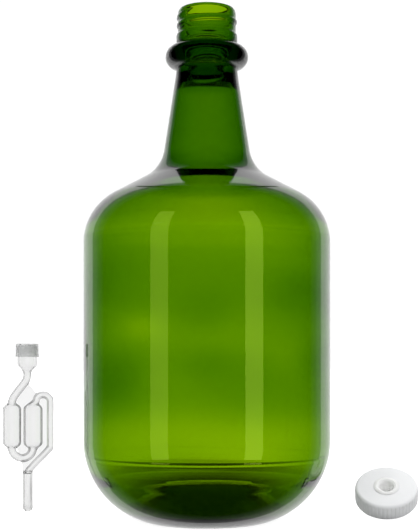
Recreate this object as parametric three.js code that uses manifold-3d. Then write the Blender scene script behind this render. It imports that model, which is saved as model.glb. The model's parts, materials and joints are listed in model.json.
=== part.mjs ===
// A five litre glass demijohn, with its drilled screw cap and its twin-chamber airlock set out beside it.
// Millimetres, +Z up. The origin is on the bottle's axis, on the surface that everything stands on.

import * as THREE from "three";
import { mergeVertices } from "three/addons/utils/BufferGeometryUtils.js";
import Module from "manifold-3d";

const wasm = await Module();
wasm.setup();

// ---- Driving dimensions -------------------------------------------------------------------------------

const FIT_GAP = 0.3; // left between pieces that touch

// Bottle: outside radii and heights
const BOTTLE_RADIUS = 89;
const BOTTLE_HEIGHT = 370;
const GLASS_WALL = 3.4;
const BOTTLE_SIDES = 32;
const HEEL_TOP = 58.4; // where the straight wall starts
const HEEL_RADIUS = 60.6;
const FOOT_OUTER = 45; // the flat ring the bottle stands on
const FOOT_INNER = 41;
const PUNT_HEIGHT = 22; // push-up under the base
const BASE_THICKNESS = 7;
const SHOULDER_START = 200.4; // where the straight wall ends
const SHOULDER_RADIUS = 40;
const SHOULDER_ANGLE = 61.7; // degrees from vertical that the shoulder leans in
const SHOULDER_SLOPE = 26; // length of its straight run
const NECK_FILLET = 27.7;
const NECK_TAPER = 8.9; // degrees from vertical
const RING_HEIGHT = 334.9; // centre of the transfer ring
const RING_RADIUS = 29.9;
const RING_HALF = 8.2;
const FINISH_RADIUS = 21; // wall behind the thread
const COLLAR_HEIGHT = 349.6; // bead under the thread
const COLLAR_RADIUS = 22.1;
const BORE_RADIUS = 16.6;
const BORE_ROUND = 0.4;
const LIP_WIDTH = 3.2; // the lip's outer round is taller than it is wide
const LIP_DROP = 6.5;

// Screw thread, shared by the neck and the cap
const THREAD_PITCH = 5.8;
const THREAD_STEPS = 16; // per turn
const NECK_THREAD = { root: FINISH_RADIUS, crest: 21.8, start: 354.4, turns: 1.7, half: 1.7 };

// Cap
const CAP_RADIUS = 23.1; // over the ribs
const CAP_HEIGHT = 11.8;
const CAP_RIBS = 48;
const CAP_RIB_DEPTH = 0.4;
const CAP_PLATE = 1.8;
const CAP_BORE = 22.1;
const CAP_THREAD = { root: CAP_BORE, crest: 21.2, start: 2.2, turns: 0.85, half: 1 };
const CAP_HOLE = 8;
const CAP_EDGE_ROUND = 2.4;
const CAP_TILT = 35.5; // degrees that the cap leans back on its edge
const CAP_YAW = -8; // degrees that it is turned towards the middle
const CAP_PLACE = [133.1, 22];
const LINER_THICKNESS = 1.3;
const LINER_RADIUS = 21.6;
const GROMMET_FLANGE = 9.75;
const GROMMET_FOOT = 9;
const GROMMET_TOP_BORE = 6.2;
const GROMMET_GRIP_BORE = 3.5;
const GROMMET_DEPTH = 9.5; // below the cap's top face
const GROMMET_RISE = 0.9; // above it

// Airlock, in its own upright plane: u to the right and v up from the tip of its stem
const AIRLOCK_PLACE = [-137.45, 54];
const AIRLOCK_WALL = 1;
const STEM_RADIUS = 3.4;
const STEM_LENGTH = 30;
const TUBE_RADIUS = 2.3; // the riser beside the chambers
const LINK_RADIUS = 2.7; // the tubes in and out of the chambers
const RISER_U = 17.2;
const RISER_BOTTOM = 49;
const CHAMBER_RADIUS = 7.05;
const CHAMBER_BOTTOM = 51.5;
const CHAMBER_TOP = 79.5;
const CHAMBER_SHOULDER = 5; // height of each tapered end
const RIGHT_CHAMBER_U = 4;
const LEFT_CHAMBER_U = -12.5;
const TOP_BEND = [10.6, 83.9, 4.4]; // u, v and radius of the bend over the top
const CUP_U = -0.5;
const CUP_RADIUS = 7.4;
const CUP_BOTTOM = 107;
const CUP_CONE = 5;
const CUP_TOP = 126.3;
const WEB_THICKNESS = 1.4;
const LID_RADIUS = 8.9;
const LID_BOTTOM = 118.4;
const LID_WALL = 0.9;
const LID_TOP = 128.3;
const LID_VENTS = 6;

// ---- Solids -------------------------------------------------------------------------------------------

// A three.js geometry as a manifold solid, turned right way out.
function solid(geometry) {
  const bare = geometry.clone();
  for (const name of Object.keys(bare.attributes)) if (name !== "position") bare.deleteAttribute(name);
  const merged = mergeVertices(bare, 1e-4);
  const index = merged.index.array;
  const points = merged.attributes.position.array;
  const triangles = [];
  let volume = 0;
  for (let i = 0; i < index.length; i += 3) {
    const [a, b, c] = [index[i], index[i + 1], index[i + 2]];
    if (a === b || b === c || c === a) continue;
    triangles.push([a, b, c]);
    const [p, q, r] = [a, b, c].map((k) => new THREE.Vector3().fromArray(points, 3 * k));
    volume += p.dot(q.cross(r));
  }
  const triVerts = new Uint32Array(triangles.flatMap(([a, b, c]) => (volume < 0 ? [a, c, b] : [a, b, c])));
  return new wasm.Manifold(new wasm.Mesh({ numProp: 3, vertProperties: points, triVerts }));
}

// A manifold solid as a three.js geometry.
function geometryOf(made) {
  const mesh = made.getMesh();
  const geometry = new THREE.BufferGeometry();
  const positions = new Float32Array(mesh.numVert * 3);
  for (let i = 0; i < mesh.numVert; i++) {
    positions.set(mesh.vertProperties.subarray(i * mesh.numProp, i * mesh.numProp + 3), i * 3);
  }
  geometry.setAttribute("position", new THREE.BufferAttribute(positions, 3));
  geometry.setIndex(new THREE.BufferAttribute(mesh.triVerts, 1));
  geometry.computeVertexNormals();
  return geometry;
}

function joined(solids) {
  return solids.reduce((all, one) => all.add(one));
}

// Points of an arc in the (radius, height) plane; angles in degrees from the outward direction.
function arc(r, z, radius, from, to, steps, squash = 1) {
  return Array.from({ length: steps + 1 }, (_, i) => {
    const angle = THREE.MathUtils.degToRad(from + ((to - from) * i) / steps);
    return new THREE.Vector2(r + radius * Math.cos(angle), z + radius * squash * Math.sin(angle));
  });
}

function at(r, z) {
  return new THREE.Vector2(r, z);
}

// A profile of (radius, height) points turned about Z. It starts and ends on the axis, or closes on itself.
function turned(profile, sides) {
  return solid(new THREE.LatheGeometry(profile, sides).rotateX(Math.PI / 2));
}

function closedRing(profile, sides) {
  return turned([...profile, profile[0].clone()], sides);
}

// A straight cylinder about Z, as a turned profile.
function plug(radius, bottom, top, sides) {
  return turned([at(0, bottom), at(radius, bottom), at(radius, top), at(0, top)], sides);
}

// A screw ridge about Z: a tapered section swept up a helix, with its ends faded into the wall.
function threadRidge({ root, crest, start, turns, half }) {
  const steps = Math.round(turns * THREAD_STEPS);
  const buried = root - Math.sign(crest - root) * 0.6;
  const positions = [];
  const index = [];
  for (let i = 0; i <= steps; i++) {
    const turn = i / THREAD_STEPS;
    const angle = turn * 2 * Math.PI;
    const fade = Math.min(1, (4 * Math.min(i, steps - i) + 1) / THREAD_STEPS);
    const height = start + turn * THREAD_PITCH;
    const tip = root + (crest - root) * fade;
    const section = [
      [buried, height - half],
      [tip, height - half * 0.35],
      [tip, height + half * 0.35],
      [buried, height + half],
    ];
    for (const [r, z] of section) positions.push(r * Math.cos(angle), r * Math.sin(angle), z);
    if (i === steps) continue;
    for (let k = 0; k < 4; k++) {
      const [a, b] = [4 * i + k, 4 * i + ((k + 1) % 4)];
      index.push(a, b, b + 4, a, b + 4, a + 4);
    }
  }
  const last = 4 * steps;
  index.push(0, 2, 1, 0, 3, 2, last, last + 1, last + 2, last, last + 2, last + 3);
  const geometry = new THREE.BufferGeometry();
  geometry.setAttribute("position", new THREE.Float32BufferAttribute(positions, 3));
  geometry.setIndex(index);
  return solid(geometry);
}

function part(name, made, look) {
  const mesh = new THREE.Mesh(geometryOf(made), new THREE.MeshStandardMaterial(look));
  mesh.name = name;
  return mesh;
}

// ---- Bottle -------------------------------------------------------------------------------------------

// The straight-then-hollow shoulder: where its slope ends, and the fillet that turns it into the neck.
function shoulder() {
  const lean = THREE.MathUtils.degToRad(SHOULDER_ANGLE);
  const taper = THREE.MathUtils.degToRad(NECK_TAPER);
  const slopeTop = at(
    BOTTLE_RADIUS - SHOULDER_RADIUS * (1 - Math.cos(lean)) - SHOULDER_SLOPE * Math.sin(lean),
    SHOULDER_START + SHOULDER_RADIUS * Math.sin(lean) + SHOULDER_SLOPE * Math.cos(lean),
  );
  const fillet = at(slopeTop.x + NECK_FILLET * Math.cos(lean), slopeTop.y + NECK_FILLET * Math.sin(lean));
  const neckFoot = at(fillet.x - NECK_FILLET * Math.cos(taper), fillet.y - NECK_FILLET * Math.sin(taper));
  const neckRadius = (height) => neckFoot.x - (height - neckFoot.y) * Math.tan(taper);
  return { fillet, neckRadius };
}

function bottleOutside() {
  const { fillet, neckRadius } = shoulder();
  const heelEnd = -THREE.MathUtils.radToDeg(Math.asin(HEEL_TOP / HEEL_RADIUS));
  const ringRoot = neckRadius(RING_HEIGHT - RING_HALF);
  const ringWidth = RING_RADIUS - ringRoot;
  return [
    at(0, PUNT_HEIGHT),
    at(FOOT_INNER * 0.3, PUNT_HEIGHT * 0.96),
    at(FOOT_INNER * 0.6, PUNT_HEIGHT * 0.78),
    at(FOOT_INNER * 0.85, PUNT_HEIGHT * 0.42),
    at(FOOT_INNER, 0),
    at(FOOT_OUTER, 0),
    ...arc(BOTTLE_RADIUS - HEEL_RADIUS, HEEL_TOP, HEEL_RADIUS, heelEnd + 4, 0, 7),
    ...arc(BOTTLE_RADIUS - SHOULDER_RADIUS, SHOULDER_START, SHOULDER_RADIUS, 0, SHOULDER_ANGLE, 5),
    ...arc(fillet.x, fillet.y, NECK_FILLET, 180 + SHOULDER_ANGLE, 180 + NECK_TAPER, 4),
    ...arc(ringRoot, RING_HEIGHT, ringWidth, -80, 80, 6, RING_HALF / ringWidth),
    at(FINISH_RADIUS - 0.2, COLLAR_HEIGHT - 2.9),
    at(COLLAR_RADIUS, COLLAR_HEIGHT - 0.8),
    at(COLLAR_RADIUS, COLLAR_HEIGHT + 0.8),
    at(FINISH_RADIUS, COLLAR_HEIGHT + 2.4),
    ...arc(FINISH_RADIUS - LIP_WIDTH, BOTTLE_HEIGHT - LIP_DROP, LIP_WIDTH, 0, 90, 4, LIP_DROP / LIP_WIDTH),
  ];
}

// The hollow follows the outside one wall in; its floor follows the push-up, thicker than the wall.
function bottleInside() {
  const { fillet, neckRadius } = shoulder();
  const floor = PUNT_HEIGHT + BASE_THICKNESS;
  const neckTop = RING_HEIGHT - RING_HALF;
  const shoulderCentre = BOTTLE_RADIUS - SHOULDER_RADIUS;
  return [
    ...arc(BORE_RADIUS + BORE_ROUND, BOTTLE_HEIGHT - BORE_ROUND, BORE_ROUND, 90, 180, 2),
    at(BORE_RADIUS, RING_HEIGHT + RING_HALF),
    at(neckRadius(neckTop) - GLASS_WALL - 1, neckTop),
    ...arc(fillet.x, fillet.y, NECK_FILLET + GLASS_WALL, 180 + NECK_TAPER, 180 + SHOULDER_ANGLE, 3),
    ...arc(shoulderCentre, SHOULDER_START, SHOULDER_RADIUS - GLASS_WALL, SHOULDER_ANGLE, 0, 4),
    ...arc(BOTTLE_RADIUS - HEEL_RADIUS, HEEL_TOP, HEEL_RADIUS - GLASS_WALL, 0, -62, 5),
    at(FOOT_OUTER, BASE_THICKNESS),
    at(FOOT_INNER * 0.85, PUNT_HEIGHT * 0.42 + BASE_THICKNESS),
    at(FOOT_INNER * 0.55, PUNT_HEIGHT * 0.8 + BASE_THICKNESS),
    at(0, floor),
  ];
}

function bottle() {
  const body = turned([...bottleOutside(), ...bottleInside()], BOTTLE_SIDES).add(threadRidge(NECK_THREAD));
  return part("bottle", body, { color: 0x3f7a0c, roughness: 0.05, metalness: 0 });
}

// ---- Cap, upright about Z with its open edge at zero --------------------------------------------------

function ribbedOutline() {
  const valley = CAP_RADIUS - CAP_RIB_DEPTH;
  const points = Array.from({ length: 2 * CAP_RIBS }, (_, i) => {
    const angle = (i * Math.PI) / CAP_RIBS;
    const r = i % 2 ? valley : CAP_RADIUS;
    return new THREE.Vector2(r * Math.cos(angle), r * Math.sin(angle));
  });
  return new THREE.Shape(points);
}

function screwCap() {
  const column = new THREE.ExtrudeGeometry(ribbedOutline(), { depth: CAP_HEIGHT, bevelEnabled: false });
  const skirt = CAP_HEIGHT - CAP_EDGE_ROUND;
  const rounded = turned(
    [
      at(0, -1),
      at(CAP_RADIUS + 1, -1),
      at(CAP_RADIUS + 1, skirt),
      ...arc(CAP_RADIUS - CAP_EDGE_ROUND, skirt, CAP_EDGE_ROUND, 0, 90, 2),
      at(0, CAP_HEIGHT),
    ],
    48,
  );
  const shell = solid(column)
    .intersect(rounded)
    .subtract(plug(CAP_BORE, -1, CAP_HEIGHT - CAP_PLATE, 48))
    .subtract(plug(CAP_HOLE, 0, CAP_HEIGHT + 1, 24))
    .add(threadRidge(CAP_THREAD));
  return part("screw_cap", shell, { color: 0xf0f0ee, roughness: 0.35, metalness: 0 });
}

function linerSpan() {
  const top = CAP_HEIGHT - CAP_PLATE - FIT_GAP;
  return [top - LINER_THICKNESS, top];
}

function capLiner() {
  const [bottom, top] = linerSpan();
  const inner = GROMMET_FOOT + 2 * FIT_GAP;
  const section = [at(inner, bottom), at(LINER_RADIUS, bottom), at(LINER_RADIUS, top), at(inner, top)];
  return part("cap_liner", closedRing(section, 40), { color: 0xe8e6df, roughness: 0.7, metalness: 0 });
}

function stemGrommet() {
  const plateTop = CAP_HEIGHT + FIT_GAP;
  const plateBottom = CAP_HEIGHT - CAP_PLATE - FIT_GAP;
  const [footBottom] = linerSpan();
  const crown = CAP_HEIGHT + GROMMET_RISE;
  const tip = CAP_HEIGHT - GROMMET_DEPTH;
  const neck = CAP_HOLE - FIT_GAP;
  const profile = [
    at(GROMMET_GRIP_BORE, tip),
    at(GROMMET_GRIP_BORE + 1.6, tip),
    at(neck, footBottom),
    at(GROMMET_FOOT, footBottom + 0.3),
    at(GROMMET_FOOT, plateBottom),
    at(neck, plateBottom),
    at(neck, plateTop),
    at(GROMMET_FLANGE, plateTop),
    at(GROMMET_FLANGE, crown - 0.5),
    at(GROMMET_FLANGE - 0.6, crown),
    at(GROMMET_TOP_BORE + 0.6, crown),
    at(GROMMET_TOP_BORE, crown - 0.6),
    at(GROMMET_GRIP_BORE + 0.9, footBottom - 1),
    at(GROMMET_GRIP_BORE, tip + 2),
  ];
  return part("stem_grommet", closedRing(profile, 24), { color: 0xf6f6f4, roughness: 0.55, metalness: 0 });
}

// The whole cap leans back on the front of its open edge and turns in, so that its hole faces the viewer.
function capSet() {
  const group = new THREE.Group();
  const lean = THREE.MathUtils.degToRad(CAP_TILT);
  group.position.set(CAP_PLACE[0], CAP_PLACE[1], CAP_RADIUS * Math.sin(lean));
  group.rotation.set(lean, 0, THREE.MathUtils.degToRad(CAP_YAW), "ZYX");
  group.add(screwCap(), capLiner(), stemGrommet());
  return group;
}

// ---- Airlock, upright about Y = 0 with the tip of its stem at zero ------------------------------------

function inPlane(u, v) {
  return new THREE.Vector3(u, 0, v);
}

// A round section swept along a route in the airlock's plane.
function tube(route, radius, steps) {
  const curve = new THREE.CatmullRomCurve3(route, false, "centripetal");
  const section = new THREE.Shape().absarc(0, 0, radius, 0, 2 * Math.PI, false);
  const options = { steps, bevelEnabled: false, extrudePath: curve, curveSegments: 4 };
  return solid(new THREE.ExtrudeGeometry(section, options));
}

// A half turn of route points about (u, v), from one angle to another in degrees.
function bend(u, v, radius, from, to, steps) {
  return Array.from({ length: steps + 1 }, (_, i) => {
    const angle = THREE.MathUtils.degToRad(from + ((to - from) * i) / steps);
    return inPlane(u + radius * Math.cos(angle), v + radius * Math.sin(angle));
  });
}

// Everything round in the airlock, drawn `inset` smaller than its outside.
function airlockRound(inset) {
  const link = LINK_RADIUS - inset;
  const riser = TUBE_RADIUS - inset;
  const middle = (LEFT_CHAMBER_U + RIGHT_CHAMBER_U) / 2;
  const reach = (RIGHT_CHAMBER_U - LEFT_CHAMBER_U) / 2;
  const over = inset ? 2 : 0; // the bore runs out past the stem's tip and the cup's top
  const chamber = (u) => {
    const r = CHAMBER_RADIUS - inset;
    const bottom = CHAMBER_BOTTOM - CHAMBER_SHOULDER;
    const top = CHAMBER_TOP + CHAMBER_SHOULDER;
    const profile = [
      at(0, bottom),
      at(link, bottom),
      at(r * 0.94, CHAMBER_BOTTOM - 1),
      at(r, CHAMBER_BOTTOM + 0.5),
      at(r, CHAMBER_TOP - 0.5),
      at(r * 0.94, CHAMBER_TOP + 1),
      at(link, top),
      at(0, top),
    ];
    return turned(profile, 16).translate([u, 0, 0]);
  };
  const cup = () => {
    const r = CUP_RADIUS - inset;
    const coneTop = CUP_BOTTOM + CUP_CONE;
    const brim = CUP_TOP + over;
    const profile = [at(0, CUP_BOTTOM), at(link, CUP_BOTTOM), at(r, coneTop), at(r, brim), at(0, brim)];
    return turned(profile, 16).translate([CUP_U, 0, 0]);
  };
  const stem = () => {
    const r = STEM_RADIUS - inset;
    const tip = inset ? [at(0, -over), at(r, -over)] : arc(r - 1.2, 1.2, 1.2, -90, 0, 2);
    const end = STEM_LENGTH + 1;
    return turned([at(0, tip[0].y), ...tip, at(r, STEM_LENGTH - 2), at(riser, end), at(0, end)], 12);
  };
  const [bendU, bendV, bendRadius] = TOP_BEND;
  const bendShift = (RISER_U - bendU - bendRadius) / 2;
  const riserRoute = [
    inPlane(0, STEM_LENGTH - 1),
    inPlane(1.2, STEM_LENGTH + 1.6),
    inPlane(RISER_U / 2, (STEM_LENGTH + RISER_BOTTOM) / 2),
    inPlane(RISER_U - 1.2, RISER_BOTTOM - 1.6),
    inPlane(RISER_U, RISER_BOTTOM + 1.4),
    inPlane(RISER_U, (RISER_BOTTOM + bendV) / 2),
    ...bend(bendU + bendShift, bendV, bendRadius + bendShift, 0, 180, 6),
    inPlane(RIGHT_CHAMBER_U + 0.6, CHAMBER_TOP + 2),
  ];
  const bottomRoute = [
    inPlane(LEFT_CHAMBER_U, CHAMBER_BOTTOM),
    ...bend(middle, CHAMBER_BOTTOM - 2.6, reach, 180, 360, 8),
    inPlane(RIGHT_CHAMBER_U, CHAMBER_BOTTOM),
  ];
  const cupRoute = [
    inPlane(LEFT_CHAMBER_U, CHAMBER_TOP),
    inPlane(LEFT_CHAMBER_U + 0.3, CHAMBER_TOP + 5),
    inPlane(LEFT_CHAMBER_U + 2.4, CHAMBER_TOP + 9.4),
    inPlane(CUP_U - 2.2, CUP_BOTTOM - 8.6),
    inPlane(CUP_U - 0.2, CUP_BOTTOM - 4.6),
    inPlane(CUP_U, CUP_BOTTOM + 1),
  ];
  return joined([
    stem(),
    chamber(LEFT_CHAMBER_U),
    chamber(RIGHT_CHAMBER_U),
    cup(),
    tube(riserRoute, riser, 24),
    tube(bottomRoute, link, 12),
    tube(cupRoute, link, 10),
  ]);
}

// The flat seam that fills in between the tubes.
function airlockWeb() {
  const outline = new THREE.Shape(
    [
      [-STEM_RADIUS, STEM_LENGTH - 1],
      [-4.4, 39],
      [LEFT_CHAMBER_U + 4, CHAMBER_BOTTOM - 2],
      [LEFT_CHAMBER_U + 4, CHAMBER_TOP + 3],
      [LEFT_CHAMBER_U + 2, CHAMBER_TOP + 9],
      [CUP_U - 1, CUP_BOTTOM - 8],
      [3.4, CUP_BOTTOM - 13],
      [7, 89],
      [RISER_U - 1, 86],
      [RISER_U, RISER_BOTTOM],
      [0.5, STEM_LENGTH],
    ].map(([u, v]) => new THREE.Vector2(u, v)),
  );
  const plate = new THREE.ExtrudeGeometry(outline, { depth: WEB_THICKNESS, bevelEnabled: false });
  return solid(plate.rotateX(Math.PI / 2).translate(0, WEB_THICKNESS / 2, 0));
}

// A block over the front (side -1) or back (side +1) of the airlock, up to half a gap from its plane.
function halfSpace(side) {
  const deep = 20;
  const block = new THREE.BoxGeometry(80, deep, 200);
  return solid(block.translate(0, side * (deep / 2 + FIT_GAP / 2), 80));
}

function airlockShells() {
  const whole = airlockRound(0).add(airlockWeb()).subtract(airlockRound(AIRLOCK_WALL));
  const look = { color: 0xeef0f0, roughness: 0.15, metalness: 0, transparent: true, opacity: 0.5 };
  return [
    part("airlock_front_shell", whole.intersect(halfSpace(-1)), look),
    part("airlock_back_shell", whole.intersect(halfSpace(1)), look),
  ];
}

function airlockLid() {
  const inner = LID_RADIUS - LID_WALL;
  const under = LID_TOP - 1.2;
  const profile = [
    at(inner, LID_BOTTOM),
    at(LID_RADIUS, LID_BOTTOM),
    at(LID_RADIUS, LID_TOP - 0.8),
    at(LID_RADIUS - 0.8, LID_TOP),
    at(0, LID_TOP),
    at(0, under),
    at(inner, under),
  ];
  const vents = Array.from({ length: LID_VENTS }, (_, i) => {
    const angle = (i * 2 * Math.PI) / LID_VENTS;
    return plug(0.7, under - 1, LID_TOP + 1, 8).translate([5 * Math.cos(angle), 5 * Math.sin(angle), 0]);
  });
  const lid = vents.reduce((left, vent) => left.subtract(vent), closedRing(profile, 24));
  const look = { color: 0xf2f3f3, roughness: 0.4, metalness: 0, transparent: true, opacity: 0.8 };
  return part("airlock_lid", lid.translate([CUP_U, 0, 0]), look);
}

function airlock() {
  const group = new THREE.Group();
  group.position.set(AIRLOCK_PLACE[0], AIRLOCK_PLACE[1], 0);
  group.add(...airlockShells(), airlockLid());
  return group;
}

// ---- The whole set ------------------------------------------------------------------------------------

const carboy = new THREE.Group();
carboy.add(bottle(), capSet(), airlock());

export default carboy;
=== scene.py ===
"""The looks of a green glass demijohn with a drilled screw cap and a twin-chamber airlock."""

import json
import math

import bpy
import numpy as np
from mathutils import Matrix, Vector


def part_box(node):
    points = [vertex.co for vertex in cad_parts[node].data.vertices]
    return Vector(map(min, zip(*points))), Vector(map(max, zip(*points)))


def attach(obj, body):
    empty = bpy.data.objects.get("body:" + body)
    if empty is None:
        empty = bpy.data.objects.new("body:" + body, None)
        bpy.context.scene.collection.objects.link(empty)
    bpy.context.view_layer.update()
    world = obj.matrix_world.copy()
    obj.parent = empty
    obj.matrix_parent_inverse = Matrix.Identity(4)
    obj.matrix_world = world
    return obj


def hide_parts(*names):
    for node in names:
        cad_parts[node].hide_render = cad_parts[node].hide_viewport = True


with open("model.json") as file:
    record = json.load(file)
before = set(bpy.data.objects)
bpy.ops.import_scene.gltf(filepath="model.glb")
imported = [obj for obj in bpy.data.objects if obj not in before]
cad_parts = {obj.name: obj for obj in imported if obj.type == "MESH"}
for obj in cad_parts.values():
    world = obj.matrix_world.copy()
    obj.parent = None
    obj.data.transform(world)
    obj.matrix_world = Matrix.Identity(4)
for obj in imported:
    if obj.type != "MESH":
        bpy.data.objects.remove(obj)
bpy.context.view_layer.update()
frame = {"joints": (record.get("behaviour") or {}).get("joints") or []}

MM = 0.001  # sizes below are in millimetres and become metres as each mesh is made

# ---- Sizes, from the frame's boxes where they can be -----------------------------------------------------

bottle_low, bottle_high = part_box("bottle")
BOTTLE_RADIUS = (bottle_high.x - bottle_low.x) / 2 / MM
BOTTLE_HEIGHT = bottle_high.z / MM

# Bottle outside, as in the CAD apart from a squarer lip and a longer collar
HEEL_TOP, HEEL_RADIUS = 58.4, 60.6
FOOT_OUTER, FOOT_INNER = 45, 41
PUNT_HEIGHT, PUNT_POWER = 22, 2.6
SHOULDER_START, SHOULDER_RADIUS, SHOULDER_ANGLE, SHOULDER_SLOPE = 200.4, 40, 61.7, 26
NECK_FILLET, NECK_TAPER = 27.7, 8.9
RING_HEIGHT, RING_RADIUS, RING_HALF = 334.9, 29.9, 8.2
FINISH_RADIUS, FINISH_ROUND = 21, 1.1
COLLAR_HEIGHT, COLLAR_RADIUS = 349.6, 22.1
# where the collar starts to swell, is full, is still full and has sunk back, counted from its height
COLLAR_STEPS = (-5.3, -3.9, 0.9, 2.6)
BORE_RADIUS, BORE_ROUND, LIP_WIDTH, LIP_DROP = 16.6, 0.4, 2.6, 4.6

# Marks of the mould: level seams, the upright seam, ticks round the foot and two groups of dots at the heel
LEVEL_SEAMS, LEVEL_SEAM_RISE = (47, 204), 0.12
UPRIGHT_SEAM_RISE = 0.14
SEAM_WIDTH = 0.7
TICKS, TICK_RISE, TICK_HEIGHT, TICK_WIDTH = 72, 0.35, 1.6, 0.9
DOT_RISE, DOT_RADIUS = 0.4, 0.9
DOTS_TURN, DOTS_TURN_STEP = 54, 1.7
DOTS_HEIGHT, DOTS_HEIGHT_STEP = 29, 2.6
HEEL_DOTS = [
    (math.radians(-90 + side * (DOTS_TURN + DOTS_TURN_STEP * column)), DOTS_HEIGHT + DOTS_HEIGHT_STEP * row)
    for side in (-1, 1)
    for column in range(2)
    for row in range(3)
    if (column, row) != (1, 1)
]
# where the rows of points lie closer together, for these marks: height, reach and spacing
CLOSE_ROWS = [(1.5, 1.6, 0.6), (31.5, 5, 0.6), *[(height, 2, 0.5) for height in LEVEL_SEAMS]]

# Glass thickness
GLASS_WALL = 3.4
BASE_THICKNESS = 5.5
# how fast the shoulder's wall thickens on the way up: height, and the degrees between its two faces
WALL_GROWTH = [
    (206, -4.2),
    (208, -0.4),
    (234, -0.6),
    (241, 0.4),
    (243, 2),
    (244.5, 7),
    (252.5, 8),
    (253, 0),
    (258, -1),
    (275, 0),
]
# bands where the blown wall is thicker all round: height, width, the extra glass and how much it tilts
BANDS = [(168, 15, 0.55, 1), (108, 13, 0.45, -1.6)]
# places where it is thicker or thinner: angle from +X, height, the two widths and the extra glass
BLOTS = [
    (123, 140, 13, 13, -0.7),
    (136, 104, 13, 15, 0.6),
    (90, 112, 14, 12, 0.4),
    (90, 152, 15, 13, 0.5),
    (46, 116, 17, 18, -0.7),
    (45, 166, 13, 12, 0.4),
]
# the wall is thinner towards the heel, below one height and over that stretch
THIN_HEEL, THIN_HEEL_TOP, THIN_HEEL_FADE = 0.9, 76, 5
# the shoulder's two sides thicken by this share of the rise above one height, and thin out before another
SIDE_CREEP, CREEP_BOTTOM, CREEP_RISE, CREEP_TOP, CREEP_FADE = 0.11, 212, 28, 266, 24
# the glass at the neck's top, and a roll of it that hangs under the ring, lower on one side
NECK_TOP, NECK_WALL = 314, 4.5
ROLL, ROLL_HEIGHT, ROLL_TILT, ROLL_TURN, ROLL_WIDTH = 0.7, 319, 3.5, 2.27, 3.5
# the bore swells inside the ring and narrows under it
CHOKE = [(16.5, 350), (16.9, 345), (18.4, 338), (17.8, 331.5), (13.8, 323)]
CHOKE_ROUND = 4

# Screw thread
THREAD_PITCH = 5.8
NECK_THREAD = dict(depth=0.8, start=354.4, turns=1.7, half=2.4)

# Cap, upright about Z with its open edge at zero
CAP_RADIUS, CAP_HEIGHT, CAP_RIBS, CAP_RIB_DEPTH, CAP_EDGE_ROUND = 23.1, 11.8, 48, 0.44, 2.4
CAP_PLATE, CAP_BORE, CAP_HOLE = 1.8, 22.1, 8
CAP_FOOT_ROUND, CAP_HOLE_ROUND, CAP_INNER_ROUND = 0.7, 0.5, 0.8
CAP_GROOVE_WIDTH = 0.42
CAP_THREAD = dict(depth=0.9, start=2.2, turns=0.85, half=1.1)
LINER_BOTTOM, LINER_TOP, LINER_INNER, LINER_RADIUS, LINER_ROUND = 8.4, 9.7, 9.6, 21.6, 0.35
LIP_MARK_RADIUS, LIP_MARK_WIDTH, LIP_MARK_DEPTH = 18.6, 1.3, 0.22
GROMMET_FLANGE, GROMMET_FOOT, GROMMET_TOP_BORE, GROMMET_GRIP_BORE = 9.75, 9, 6.2, 3.5
GROMMET_TIP, GROMMET_CROWN, GROMMET_ROUND = 2.3, 12.7, 0.6
# what is left between the grommet and the cap's plate all round
GROMMET_GAP = 0.25
GRIP_BOTTOM = GROMMET_TIP + 1.6
GRIP_LIPS, GRIP_LIP_GAP, GRIP_LIP_RISE, GRIP_LIP_WIDTH = 3, 1.5, 0.35, 0.4

# Airlock, in its own upright plane: u to the right and v up from the tip of its stem
AIRLOCK_WALL = 1
SEAM_GAP, SEAM_FLASH, SEAM_THICKNESS = 0.1, 0.35, 0.9
STEM_RADIUS, STEM_LENGTH = 3.4, 30
TUBE_RADIUS, LINK_RADIUS = 2.3, 2.7
RISER_U, RISER_BOTTOM = 17.2, 49
CHAMBER_RADIUS, CHAMBER_BOTTOM, CHAMBER_TOP = 6.75, 51.5, 79.5
RIGHT_CHAMBER_U, LEFT_CHAMBER_U = 4, -12.4
TOP_BEND = (10.6, 83.9, 4.4)
CUP_U, CUP_RADIUS, CUP_BOTTOM, CUP_CONE, CUP_TOP = -0.5, 7.4, 107, 5, 126.3
# which way the chambers' and the cup's cones face, as parts of one outwards and along
CHAMBER_CONE, CUP_SLOPE = (0.62, 0.785), (0.73, 0.68)
WEB_HALF = 0.7
LID_RADIUS, LID_BOTTOM, LID_TOP, LID_WALL, LID_ROUND = 8.9, 118.4, 128.3, 0.9, 0.35
LID_PLATE, LID_DISH = 1.2, 0.35
LID_VENTS, VENT_REACH, VENT_RADIUS, VENT_START = 6, 5, 0.7, 0.46
# spacing of the net of points that the shells are made from, and its ranges along u, v and depth
NET_STEP = 0.42
NET_RANGES = [(-21.2, 21.2), (-1.25, 128), (-9.2, 1.2)]
# its stem's axis and its seam's plane, from the box of the CAD's front shell, which stops short of the seam
SHELL_LEFT_REACH, CAD_SEAM_GAP = 19.55, 0.3
airlock_low, airlock_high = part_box("airlock_front_shell")
AIRLOCK_X = airlock_low.x / MM + SHELL_LEFT_REACH
AIRLOCK_Y = airlock_high.y / MM + CAD_SEAM_GAP / 2

# Camera, in millimetres apart from its upward shift, which is a share of the picture's height
CAMERA_DISTANCE, CAMERA_HEIGHT, CAMERA_SIDE = 910, 116.7, 1.9
LENS, SENSOR, SHIFT_UP = 85.388, 36, 0.17736

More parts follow.
